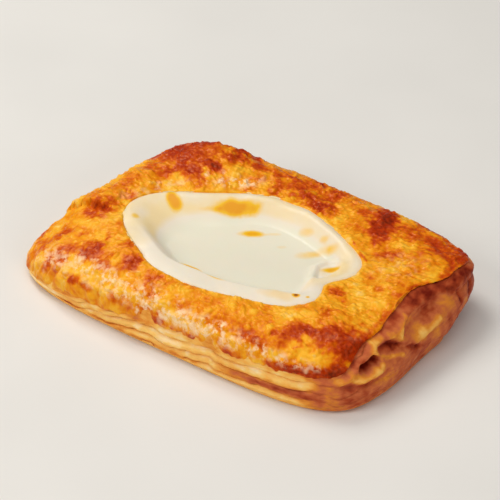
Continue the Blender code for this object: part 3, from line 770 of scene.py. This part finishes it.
def skin_base(count, spokes, ragged):
    """The skin's plain form, and the share of the way out from the well at each of its rings.

    Three rings turn down into the well, and the domed top runs from the well to the skin's edge.
    The edge is half a circle of the skin's thickness, and the underside repeats the dome one
    thickness lower. The section closes on itself under the sauce.
    """
    well, edge = evenly_round(well_edge, spokes), evenly_round(outline, spokes)
    outward = (edge - well) / np.linalg.norm(edge - well, axis=1)[:, None]
    low = at_spokes(SKIN_EDGE_HEIGHT, spokes)
    thick = at_spokes(SKIN_EDGE_THICKNESS, spokes)
    rim = edge - at_spokes(SKIN_EDGE_SETBACK, spokes)[:, None] * outward
    # The edge frays outwards and downwards, but not at the right end and along the far side
    calm = np.maximum(at_right(rim[:, 0]), smooth((rim[:, 1] - 0.020) / 0.010))
    waves = ((0.6, 0.0070), (0.5, 0.0026), (0.3, 0.0011))
    fray = [sum(share * noise(ring(rim, low), size, salt + number)
                for number, (share, size) in enumerate(waves)) for salt in (11, 14)]
    fray = [ragged * (1.0 - calm) * each for each in fray]
    rings, ways = [], []
    for depth in (0.0035, 0.0018, 0.0007):
        rings.append(ring(well - 0.35 * depth * outward, CREST_HEIGHT + swell(well) - depth))
        ways.append(0.0)
    for share in top_shares(count):
        late = smooth((share - 0.80) / 0.20)
        plan = well + share * (rim - well) + (late * fray[0])[:, None] * outward
        height = domed_height(plan, share, low, CREST_HEIGHT)
        rings.append(ring(plan, height + 1.5 * late * fray[1]))
        ways.append(share)
    rim = rim + fray[0][:, None] * outward
    low = low + 1.5 * fray[1]
    for angle in np.linspace(0.0, pi, 9)[1:]:
        plan = rim - 0.5 * (thick * (1.0 - cos(angle)))[:, None] * outward
        rings.append(ring(plan, low + SWELL_AT_EDGE * swell(plan) - 0.5 * thick * sin(angle)))
        ways.append(1.0)
    inner = rim - thick[:, None] * outward
    for share in (0.96, 0.88, 0.6, 0.25):
        plan = well + share * (inner - well)
        rings.append(ring(plan, domed_height(plan, share, low, CREST_HEIGHT - thick)))
        ways.append(1.0)
    return np.stack(rings), np.array(ways)


def skin_relief(points, share):
    """The skin's relief, how much of a large or small blister it is, and how near a torn edge.

    Soft puffs carry round blisters, each a dome inside its own cell, then thin flakes whose edges
    follow the contour lines of broad noise, wrinkles and fine grain.
    """
    puffs = PUFF_HEIGHT * rough(points, PUFF_SIZE, 21, 2)
    warped = points + 0.0006 * np.stack([noise(points, 0.0022, 31 + axis) for axis in range(3)], axis=-1)
    near, number = seeds(warped, LARGE_BLISTER_SIZE, 41)
    large = np.clip(1.0 - (near / 0.62) ** 2, 0.0, 1.0) * smooth((number - 0.35) / 0.3)
    near, number = seeds(warped, SMALL_BLISTER_SIZE, 51)
    small = np.clip(1.0 - (near / 0.62) ** 2, 0.0, 1.0) * smooth((number - 0.30) / 0.3)
    level = 3.4 * rough(warped, FLAKE_SIZE, 61, 3) + 2.2 * share
    fall = level - np.floor(level)
    flake = FLAKE_HEIGHT * (smooth(fall / 0.10) - fall)
    torn = np.exp(-(((fall - 0.05) / 0.05) ** 2))
    wrinkle = 1.0 - np.abs(noise(warped * (1.0, 1.0, 0.6), WRINKLE_SIZE, 71)) * 2.4
    relief = puffs + LARGE_BLISTER_HEIGHT * large + SMALL_BLISTER_HEIGHT * small + flake
    relief += WRINKLE_HEIGHT * np.clip(wrinkle, 0.0, 1.0) ** 2
    relief += GRAIN_HEIGHT * noise(points, GRAIN_SIZE, 72)
    return relief * (1.0 - 0.5 * smooth((share - 0.88) / 0.12)), large, small, torn


def skin_bake(points, share, large, small, torn):
    """How far each point of the skin baked, from 0 for its palest to 1 for scorched.

    Mottling 8, 4 and 1.5 mm across lies round a golden middle. Blisters are paler, as thin dough and
    as painted highlight on their tops, and torn edges are paler too. The rim along the far side and at
    the right end is darker, and the listed patches, painted shadow and painted sheen among them, calm
    the mottling where they lie. What would scorch is held back, and the dough by the sauce is paler.
    """
    x, y = points[..., 0], points[..., 1]
    # The listed patches, which hold a painted shadow line and a paler strip of painted sheen
    spots = 0.80 * patches(points, TOP_PATCHES_AND_SHADOW, 0.50, 91)
    spots += 0.78 * patches(points, FRONT_PATCHES_AND_SHEEN, 0.45, 92)
    calm = 1.0 - 0.75 * smooth(spots / 0.25)
    bake = 0.50 + 0.15 * rough(points, 0.0080, 81, 2) * calm
    bake += 0.18 * rough(points, 0.0042, 82, 2) * (0.3 + 0.7 * calm)
    bake += 0.05 * noise(points, 0.0015, 85) * calm
    # Paler on the tops of blisters: thin dough and painted highlight
    bake -= calm * (0.22 * large * smooth(0.5 + 0.8 * noise(points, 0.0060, 83)) + 0.10 * small)
    bake -= 0.07 * torn
    far = smooth((y - 0.020) / 0.016) * smooth((share - 0.45) / 0.5)
    bake += (0.17 - 0.06 * smooth(x / 0.02)) * far * (0.7 + 0.5 * noise(points, 0.0050, 84))
    right = smooth((x - 0.030) / 0.025) * smooth((share - 0.86) / 0.10)
    bake += 0.22 * right * (0.9 + 0.5 * noise(points, 0.0060, 86))
    bake -= 0.01 * smooth((x - 0.015) / 0.03)
    bake += spots
    bake = np.minimum(bake, 0.80 + 0.35 * (bake - 0.80))
    bake -= 0.16 * smooth(1.0 - share / 0.07)
    return np.clip(bake, 0.02, 1.0)


def tint(name, description, code):
    """A colour property whose default is an sRGB hex colour."""
    return FloatVectorProperty(name=name, description=description, subtype="COLOR", size=3,
                               default=linear(code))


class PastryColours(bpy.types.PropertyGroup):
    """The colours of the crust and the sauce."""

    crumb: tint("Crumb", "Palest layer inside the side", "#FBE2B2")
    pale_crust: tint("Pale crust", "Thin blisters and puffed layers", "#F8C76C")
    blister: tint("Blister", "Thin blisters of the skin", "#F7B630")
    light_gold: tint("Light gold", "Lightly baked skin", "#F1A21C")
    gold: tint("Gold", "Most of the skin", "#E58206")
    amber: tint("Amber", "Well baked skin", "#CE5404")
    red_brown: tint("Red-brown", "Dark patches of the skin", "#B02E02")
    layer_gold: tint("Layer gold", "Lightly baked layers of the side", "#F2AE4E")
    layer_amber: tint("Layer amber", "Well baked layers of the side", "#DE882C")
    toasted: tint("Toasted", "Bare dough of the folded right end", "#C8683A")
    # Gaps and hollows of the side, toasted and in painted shade
    deep_toast_and_shade: tint("Deep toasted", "Gaps and hollows of the side", "#A8421F")
    # Darkest edges, and painted shade deep in the hollows
    scorched_and_hollow_shade: tint("Scorched", "Darkest edges and hollows", "#701602")
    # Pale flecks of lifted egg wash, and painted sheen on the near shoulder
    film: tint("Film", "Flecks of dried egg wash on the shoulders", "#FFDAAC")
    sauce_pool: tint("Sauce pool", "The level middle of the sauce", "#E6E1CB")
    sauce_lip: tint("Sauce lip", "The raised edge of the sauce", "#EBDFCB")
    sauce_wall: tint("Sauce wall", "Where the sauce dried thin", "#EFD7A4")
    sauce_gold: tint("Sauce gold", "Spots that caught the heat", "#F2BE1C")
    sauce_amber: tint("Sauce amber", "The middle of those spots", "#E69200")
    sauce_brown: tint("Sauce brown", "The darkest spot", "#9C5A14")
    floor: tint("Floor", "The board that the pastry lies on", "#E4E1DB")


class PastryShape(bpy.types.PropertyGroup):
    """The sizes that change how the pastry puffed, flaked and was filled."""

    skin_relief: FloatProperty(name="Skin relief", description="Strength of blisters and flakes",
                               default=1.0, min=0.0, max=2.0, subtype="FACTOR")
    skin_fray: FloatProperty(name="Skin fray", description="How far the skin's edge strays",
                             default=0.0010, unit="LENGTH", subtype="DISTANCE")
    layer_wave: FloatProperty(name="Layer wave", description="How far layers wander, in layers",
                              default=0.45, min=0.0, max=1.0, subtype="FACTOR")
    sauce_lap: FloatProperty(name="Sauce lap", description="How far the sauce laps over the skin",
                             default=0.0008, unit="LENGTH", subtype="DISTANCE")


class PastryStage(bpy.types.PropertyGroup):
    """The camera and the light."""

    azimuth: FloatProperty(name="Azimuth", description="Where the camera stands round the pastry",
                           default=radians(36.0), subtype="ANGLE", unit="ROTATION")
    elevation: FloatProperty(name="Elevation", description="How high the camera looks from",
                             default=radians(36.0), subtype="ANGLE", unit="ROTATION")
    distance: FloatProperty(name="Distance", description="From the camera to what it looks at",
                            default=0.640, unit="LENGTH", subtype="DISTANCE")
    lens: FloatProperty(name="Lens", description="Focal length on a 36 mm sensor, in millimetres",
                        default=140.7, unit="CAMERA")
    window: FloatProperty(name="Window light", description="Power of the light at the far left",
                          default=4.8, unit="POWER")
    front: FloatProperty(name="Front light", description="Power of the low soft light at the left",
                         default=3.0, unit="POWER")
    ceiling: FloatProperty(name="Ceiling light", description="Power of the wide light overhead",
                           default=4.7, unit="POWER")
    side: FloatProperty(name="Side light", description="Power of the fill light at the right",
                        default=1.8, unit="POWER")
    sky: FloatProperty(name="Sky", description="Strength of the light from all round", default=0.12)


class PASTRY_OT_skin(bpy.types.Operator):
    """Build the egg-washed skin that covers the top and rolls over the sides"""

    bl_idname = "pastry.skin"
    bl_label = "Skin"

    def execute(self, context):
        shape = context.scene.pastry_shape
        grid, ways = skin_base(SKIN_TOP_RINGS, SKIN_SPOKES, shape.skin_fray)
        share = np.broadcast_to(ways[:, None], grid.shape[:2])
        relief, large, small, torn = skin_relief(grid, share)
        # The relief fades out under the sauce and round the skin's edge
        number = np.arange(len(grid))
        kept = smooth((number - 1.0) / 5.0) * smooth((SKIN_TOP_RINGS + 11.5 - number) / 5.0)
        raised = grid + (shape.skin_relief * relief * kept[:, None])[..., None] * normals(grid)
        bake = skin_bake(grid, share, large, small, torn)
        # Pale flecks of lifted egg wash, with painted sheen along the near shoulder
        film = np.clip(patches(grid, FILM_AND_SHEEN_PATCHES, 0.50, 95), 0.0, 1.0)
        make_piece("egg_washed_skin", raised.reshape(-1, 3), ring_quads(*grid.shape[:2], True),
                   np.zeros((0, 3), int), {"bake": bake, "film": film},
                   egg_washed_skin(context.scene.pastry_colours), "crust")
        return {"FINISHED"}


def side_base(spokes, ways):
    """The side's plain form at the given shares of the way down, which way it faces, and the shares.

    The side stands in from the outline at its top by the skin's setback and at its foot by the
    foot's, and each fades as a power of the way from there.
    """
    edge = evenly_round(outline, spokes)
    outward = edge - evenly_round(well_edge, spokes)
    outward = outward / np.linalg.norm(outward, axis=1)[:, None]
    # The side's top lies inside the skin's rounded edge
    low = at_spokes(SKIN_EDGE_HEIGHT, spokes) + SWELL_AT_EDGE * swell(edge)
    low = low - 0.4 * at_spokes(SKIN_EDGE_THICKNESS, spokes)
    down = np.broadcast_to(ways[:, None], (len(ways), spokes))
    height = FOOT_HEIGHT + (low - FOOT_HEIGHT) * (1.0 - down)
    right = at_right(edge[:, 0])
    slope = SIDE_SLOPE + (RIGHT_END_SLOPE - SIDE_SLOPE) * right
    inset = at_spokes(SKIN_EDGE_SETBACK, spokes) * (1.0 - down) ** slope
    inset = inset + at_spokes(FOOT_SETBACK, spokes) * down ** (2.0 + right)
    plan = edge - inset[..., None] * outward
    grid = np.concatenate((plan, height[..., None]), axis=2)
    facing = np.broadcast_to(np.append(outward, np.zeros((spokes, 1)), axis=1), grid.shape)
    return grid, facing, down


def lamination(points, down, wave):
    """How the layers lie: a share of the ledge to cut in, steps, how deep in a gap or seam, a tone with
    painted shade.

    The way down is split into layers whose bounds wander with noise. Each layer is a rounded lobe
    with a narrow gap under the one above it, and carries thinner sheets, each with its own step
    and a seam above it. The lower part of a layer is darker, painted shade under its rounded top,
    and each has a tone of its own.
    """
    level = points * (1.0, 1.0, 0.15)
    wander = rough(level, 0.0260, 101, 2)
    wander += 0.60 * noise(level, 0.0075, 104) + 0.28 * noise(level, 0.0026, 105)
    # Where the side is low, fewer layers show
    tall = np.clip(points[:1, :, 2] / FULL_SIDE, 0.5, 1.0)
    phase = LAYERS * tall * down + wave * wander
    layer = np.floor(phase)
    way = phase - layer
    own = np.concatenate((points[..., :2], (0.1 * layer)[..., None]), axis=-1)
    open_here = np.clip(0.48 + 0.95 * noise(own, 0.0110, 111), 0.0, 1.3)
    gap = (np.exp(-((way / 0.12) ** 2)) + 0.7 * np.exp(-(((1.0 - way) / 0.06) ** 2))) * open_here
    lobe = ((way - 0.58) / 0.5) ** 2
    thin = phase * 2.6 + 0.35 * noise(own, 0.0080, 112)
    thin_layer = np.floor(thin)
    thin_way = thin - thin_layer
    thin_own = np.concatenate((points[..., :2], (0.1 * thin_layer)[..., None]), axis=-1)
    step = 0.00010 * noise(thin_own, 0.0060, 113) + 0.00006 * noise(thin_own, 0.0016, 114)
    seam = np.exp(-((thin_way / 0.18) ** 2)) * np.clip(0.5 + noise(thin_own, 0.0070, 115), 0.0, 1.0)
    stand = 0.00070 * noise(own, 0.0130, 116)
    cut = 0.75 * lobe + 1.1 * gap
    tone_and_shade = 0.10 * noise(own, 0.0080, 117) + 0.04 * noise(thin_own, 0.0030, 118)
    # Painted shade: each layer lighter at its top and darker low down
    tone_and_shade += 0.26 * (way - 0.55)
    return cut, 0.00007 * seam - step - stand, gap, seam, tone_and_shade


class PASTRY_OT_body(bpy.types.Operator):
    """Build the laminated body: the layered side, the folded right end and the flat base"""

    bl_idname = "pastry.body"
    bl_label = "Laminated body"

    def execute(self, context):
        shape = context.scene.pastry_shape
        ways = (np.arange(SIDE_RINGS) + 0.5) / SIDE_RINGS
        grid, facing, down = side_base(BODY_SPOKES, ways)
        right = at_right(grid[..., 0])
        cut, steps, gap, seam, tone_and_shade = lamination(grid, down, shape.layer_wave)
        ledge = at_spokes(LEDGE_DEPTH, BODY_SPOKES)
        grain = 0.00010 * noise(grid, 0.0012, 121) + 0.00005 * noise(grid, 0.0006, 122)
        inset = ledge * cut * (1.0 - 0.80 * right) + steps * (1.0 - 0.60 * right) + grain
        bake = side_bake(grid, down, gap, seam, tone_and_shade, right)
        hollow, toast_and_shade = right_end_folds(grid)
        inset += right * (hollow - RIM_ROLL * np.exp(-(((down - 0.10) / 0.09) ** 2)))
        # Toasting, and painted shade in the right end's hollows and creases
        bake += right * toast_and_shade
        fade = smooth((1.0 - down) / 0.06)
        grid = grid - (inset * fade)[..., None] * facing
        under = self.under_skin(grid[0])
        foot = self.foot(grid[-1], facing[-1])
        grid = np.concatenate((under, grid, foot))
        bake = np.concatenate((np.broadcast_to(bake[0], under.shape[:2]), bake,
                               np.broadcast_to(0.36 + 0.24 * right[-1], foot.shape[:2])))
        make_with_poles("laminated_body", grid, {"bake": np.clip(bake, 0.0, 1.0)},
                        laminated_dough(context.scene.pastry_colours), "crust")
        return {"FINISHED"}

    @staticmethod
    def under_skin(top):
        """Rings from the floor of the well out to the side's first ring, all below the skin."""
        well = evenly_round(well_edge, BODY_SPOKES)
        centre = well.mean(axis=0)
        rings = [ring(centre + share * (well - centre), WELL_FLOOR) for share in (0.45, 0.85)]
        rings.append(ring(centre + 0.93 * (well - centre), WELL_FLOOR + 0.0010))
        low = top[:, 2]
        for share in (0.03, 0.3, 0.6, 0.85, 0.95):
            plan = well + share * (top[:, :2] - well)
            rings.append(ring(plan, domed_height(plan, share, low, CREST_HEIGHT - UNDER_SKIN)))
        return np.stack(rings)

    @staticmethod
    def foot(last, outward):
        """Rings that round the foot under to the flat base: a quarter of a circle, then inwards."""
        rings = []
        for angle in np.linspace(0.0, 0.5 * pi, 7)[1:]:
            inwards = FOOT_ROUNDING * (1.0 - cos(angle))
            lowered = last[:, 2] * (1.0 - sin(angle))
            rings.append(ring(last[:, :2] - inwards * outward[:, :2], lowered))
        for share in (0.85, 0.5):
            rings.append(ring(share * last[:, :2], 0.0))
        return np.stack(rings)


def side_bake(points, down, gap, seam, tone_and_shade, right):
    """How far the side baked: pale lobes, gaps darker with toasting and painted shade, a toasted foot
    and a browner right end.

    The sheet just under the skin is a little darker, painted shade under the skin's overhang, the far
    side more so, and towards the right a reddish band runs low down.
    """
    x, y = points[..., 0], points[..., 1]
    bake = 0.24 + tone_and_shade + 0.10 * rough(points, 0.0040, 131, 2)
    bake += 0.09 * noise(points * (0.5, 0.5, 1.0), 0.0014, 134)
    # Darker in the gaps between layers: toasting and painted shade
    bake += 0.30 * np.clip(gap, 0.0, 1.0) + 0.02 * seam
    # Golden at the foot, and darker just under the skin's edge: painted shade under its overhang
    bake += 0.16 * smooth((down - 0.74) / 0.20) + 0.18 * smooth((0.17 - down) / 0.12)
    reddish = smooth((x - 0.012) / 0.020) * np.exp(-(((down - 0.67) / 0.16) ** 2))
    bake += 0.56 * reddish - 0.12 * smooth((x - 0.020) / 0.020) * smooth((down - 0.86) / 0.08)
    bake += 0.12 * smooth(y / 0.03)
    browned = 0.67 + 0.12 * rough(points, 0.0070, 132, 2)
    browned += 0.09 * rough(points * (1.0, 1.0, 0.5), 0.0022, 133, 2)
    browned += 0.05 * np.clip(gap, 0.0, 1.0) + 0.02 * seam + 0.2 * tone_and_shade
    browned += 0.05 * smooth((y - 0.008) / 0.012) + 0.06 * smooth((down - 0.50) / 0.25)
    return bake * (1.0 - right) + browned * right


def right_end_folds(points):
    """Depth of the creases, hollows and folds of the right end, and how much darker each is, as toasting
    and as painted shade in the hollows.

    Each one falls off as a bell curve with the distance from its stretch, which wavers a bit.
    Where some meet, the deepest hollow and the highest fold count, not their sums.
    """
    y = points[..., 1] + 0.0006 * noise(points, 0.0050, 141) + 0.0001 * noise(points, 0.0018, 142)
    z = points[..., 2] + 0.0005 * noise(points, 0.0045, 143) + 0.0001 * noise(points, 0.0016, 144)
    into, out, dark_with_shade, pale = (np.zeros(y.shape) for _ in range(4))
    for line in RIGHT_END_LINES:
        for (*start, half_width, depth, darker_with_shade), end in zip(line, line[1:]):
            bell = np.exp(-((stretch_distance(y, z, start, end[:2]) / half_width) ** 2))
            into, out = np.maximum(into, depth * bell), np.minimum(out, depth * bell)
            dark_with_shade, pale = np.maximum(dark_with_shade, darker_with_shade * bell), np.minimum(pale, darker_with_shade * bell)
    return into + out, dark_with_shade + pale


def sauce_height(plan, share, foot, top):
    """The sauce's height, and how far up its bank each point is.

    A nearly level pool eases up a bank to the lip, which falls a little to the well's edge. A fold
    with a bell-shaped section runs along its hook, and the floor inside the hook is raised.
    """
    way = np.clip((share - foot) / (top - foot), 0.0, 1.0)
    bank = smooth(way)
    fall = LIP_RISE * np.clip((share - top) / (1.0 - top), 0.0, 1.0) ** 2
    x, y = plan[..., 0], plan[..., 1]
    pool = POOL_HEIGHT + POOL_TILT * smooth((0.006 - y + 0.5 * x) / 0.030)
    stretches = [stretch_distance(x, y, start, end) for start, end in zip(FOLD_PATH, FOLD_PATH[1:])]
    fold = FOLD_HEIGHT * np.exp(-((np.min(stretches, axis=0) / FOLD_WIDTH) ** 2))
    inside = np.hypot(x - FOLD_FLOOR[0], y - FOLD_FLOOR[1]) / FOLD_FLOOR_RADIUS
    fold = np.maximum(fold, FOLD_FLOOR_RISE * smooth(1.6 - inside))
    return pool + (CREST_HEIGHT + LIP_RISE - pool) * bank - fall + fold * (1.0 - bank), bank


def sauce_base(spokes, lap):
    """The sauce's plain form as rings from its middle outwards, and each point's share of the bank.

    Rings fill the pool, the bank and the lip in turn. A quarter of an ellipse then rolls the lip
    over the skin, as far as the lap, and the last rings close the sauce inside the dough.
    """
    well = evenly_round(well_edge, spokes)
    centre = np.array(WELL_CENTRE) - PLAN_CENTRE
    outward = (well - centre) / np.linalg.norm(well - centre, axis=1)[:, None]
    foot, top = at_spokes(BANK_FOOT, spokes), at_spokes(BANK_TOP, spokes)
    rings, banks = [], []
    for start, end, count in zip((0.0, foot, top), (foot, top, 1.0), SAUCE_RINGS):
        for step in range(1, count + 1):
            share = start + (end - start) * step / count
            plan = centre + share[:, None] * (well - centre)
            height, bank = sauce_height(plan, share, foot, top)
            rings.append(ring(plan, height))
            banks.append(bank)
    edge = rings[-1]
    reach = lap * (1.0 + 0.7 * noise(edge, 0.0090, 151) + 0.4 * noise(edge, 0.0030, 152))
    reach = np.maximum(reach, 0.0002)
    for angle in np.linspace(0.0, 0.5 * pi, 9)[1:]:
        plan = well + (reach * sin(angle))[:, None] * outward
        rings.append(ring(plan, edge[:, 2] - 0.0014 * (1.0 - cos(angle)) + swell(plan)))
        banks.append(np.full(spokes, 1.0))
    for share, height in ((0.99, 0.0170), (0.97, 0.0150), (0.90, 0.0088), (0.5, 0.0086)):
        rings.append(ring(centre + share * (well - centre), height))
        banks.append(np.full(spokes, 0.0))
    return np.stack(rings), np.stack(banks)


def sauce_paint(points, bank):
    """Where the sauce turned golden or brown, and how warm its white is, from 0 for the pool's.

    Gold comes from the listed spots and a thin rim against the crust. The bank is warmer than the
    pool, least on the near side. It is warmer at the left end's lower bank and on the floor of the
    fold, painted light where those lie in shade.
    """
    number = np.arange(len(points))
    gold = np.clip(patches(points, GOLD_SPOTS, 0.20, 171), 0.0, 0.80)
    gold = np.maximum(gold, patches(points, BROWN_SPOTS, 0.20, 174))
    rim = smooth((number - len(points) + 19.0) / 9.0)[:, None]
    gold = np.maximum(gold, 0.20 * rim * (1.0 + 0.6 * noise(points, 0.0050, 173)))
    x, y = points[..., 0], points[..., 1]
    near_side = smooth((-0.004 - y) / 0.008)
    left_end = smooth((-0.018 - x) / 0.014)
    # Warmer at the left end's lower bank: painted light where it lies in shade
    warmth = 0.72 - 0.35 * near_side * (1.0 - left_end) + 0.35 * left_end * smooth((1.0 - bank) / 0.4)
    warmth = 0.05 + smooth(bank / 0.6) * warmth + 0.12 * rough(points, 0.0070, 172, 2)
    in_fold = np.hypot(x - FOLD_FLOOR[0], y - FOLD_FLOOR[1]) / FOLD_FLOOR_RADIUS
    # Warmer on the floor of the fold: painted light in the fold's shade
    warmth += 0.55 * smooth(1.5 - in_fold)
    return {"gold": gold, "warmth": np.clip(warmth, 0.0, 1.0)}


class PASTRY_OT_sauce(bpy.types.Operator):
    """Build the set white sauce in the well"""

    bl_idname = "pastry.sauce"
    bl_label = "Sauce"

    def execute(self, context):
        grid, bank = sauce_base(SAUCE_SPOKES, context.scene.pastry_shape.sauce_lap)
        # Rings count from the middle outwards, and the lip's own start after the bank's
        number = np.arange(len(grid))
        lip = smooth((number - sum(SAUCE_RINGS[:2]) + 12.0) / 12.0)[:, None]
        relief = 0.00012 * rough(grid, 0.0060, 161, 2) * (0.25 + bank)
        relief += 0.00020 * lip * rough(grid, 0.0100, 162, 1)
        kept = smooth((len(grid) - 5.0 - number) / 3.0)[:, None]
        grid = grid + (relief * kept)[..., None] * normals(grid)
        make_with_poles("set_sauce", grid, sauce_paint(grid, bank),
                        set_white_sauce(context.scene.pastry_colours), "sauce")
        return {"FINISHED"}


class PASTRY_OT_stage(bpy.types.Operator):
    """Lay the floor, hang the lights and stand the camera"""

    bl_idname = "pastry.stage"
    bl_label = "Stage"

    def execute(self, context):
        stage = context.scene.pastry_stage
        scene = context.scene
        self.floor(scene)
        flat = cos(stage.elevation)
        back = Vector((sin(stage.azimuth) * flat, -cos(stage.azimuth) * flat, sin(stage.elevation)))
        lens = bpy.data.cameras.new("camera")
        lens.lens = stage.lens
        lens.sensor_width = 36.0
        lens.clip_start = 0.01
        camera = bpy.data.objects.new("camera", lens)
        camera.location = Vector(CAMERA_TARGET) + stage.distance * back
        camera.rotation_euler = (-back).to_track_quat("-Z", "Y").to_euler()
        scene.collection.objects.link(camera)
        scene.camera = camera
        for name, place, size, colour in LIGHTS:
            self.light(scene, f"{name}_light", place, size, getattr(stage, name), colour)
        self.sky(scene, stage.sky)
        scene.view_settings.view_transform = "Standard"
        return {"FINISHED"}

    @staticmethod
    def floor(scene):
        """A flat square board that lies a hair below the pastry's base."""
        half = 0.5 * FLOOR_SIZE
        corners = [(x * half, y * half, -FLOOR_GAP) for x, y in ((-1, -1), (1, -1), (1, 1), (-1, 1))]
        mesh = bpy.data.meshes.new("floor")
        mesh.from_pydata(corners, [], [(0, 1, 2, 3)])
        mesh.materials.append(plain_floor(scene.pastry_colours.floor))
        floor = bpy.data.objects.new("floor", mesh)
        scene.collection.objects.link(floor)

    @staticmethod
    def light(scene, name, place, size, power, colour):
        """A soft square light that faces the pastry."""
        lamp = bpy.data.lights.new(name, "AREA")
        lamp.size = size
        lamp.energy = power
        lamp.color = colour
        made = bpy.data.objects.new(name, lamp)
        made.location = place
        aim = Vector(LIGHT_TARGET) - Vector(place)
        made.rotation_euler = aim.to_track_quat("-Z", "Y").to_euler()
        scene.collection.objects.link(made)

    @staticmethod
    def sky(scene, strength):
        """Even light from all round."""
        world = bpy.data.worlds.new("studio")
        world.use_nodes = True
        back = world.node_tree.nodes["Background"]
        back.inputs["Color"].default_value = (1.0, 1.0, 1.0, 1.0)
        back.inputs["Strength"].default_value = strength
        scene.world = world


STEPS = (PASTRY_OT_skin, PASTRY_OT_body, PASTRY_OT_sauce, PASTRY_OT_stage)


class PASTRY_PT_sidebar(bpy.types.Panel):
    """The pastry's pieces in the 3D view's sidebar"""

    bl_idname = "PASTRY_PT_sidebar"
    bl_label = "Danish pastry"
    bl_space_type = "VIEW_3D"
    bl_region_type = "UI"
    bl_category = "Pastry"

    def draw(self, context):
        for step in STEPS:
            self.layout.operator(step.bl_idname)
        for name, group in GROUPS.items():
            box = self.layout.box()
            for key in group.__annotations__:
                box.prop(getattr(context.scene, name), key)


GROUPS = {"pastry_shape": PastryShape, "pastry_colours": PastryColours, "pastry_stage": PastryStage}


def register():
    """Registers the groups of properties, the operators and the panel."""
    for key, group in GROUPS.items():
        bpy.utils.register_class(group)
        setattr(bpy.types.Scene, key, PointerProperty(type=group))
    for step in (*STEPS, PASTRY_PT_sidebar):
        bpy.utils.register_class(step)


def unregister():
    """Takes away what register added."""
    for step in (PASTRY_PT_sidebar, *reversed(STEPS)):
        bpy.utils.unregister_class(step)
    for key, group in GROUPS.items():
        delattr(bpy.types.Scene, key)
        bpy.utils.unregister_class(group)


def main():
    """Builds every piece in order."""
    register()
    bpy.ops.pastry.skin()
    bpy.ops.pastry.body()
    bpy.ops.pastry.sauce()
    bpy.ops.pastry.stage()
    bpy.context.view_layer.update()


if __name__ == "__main__":
    main()
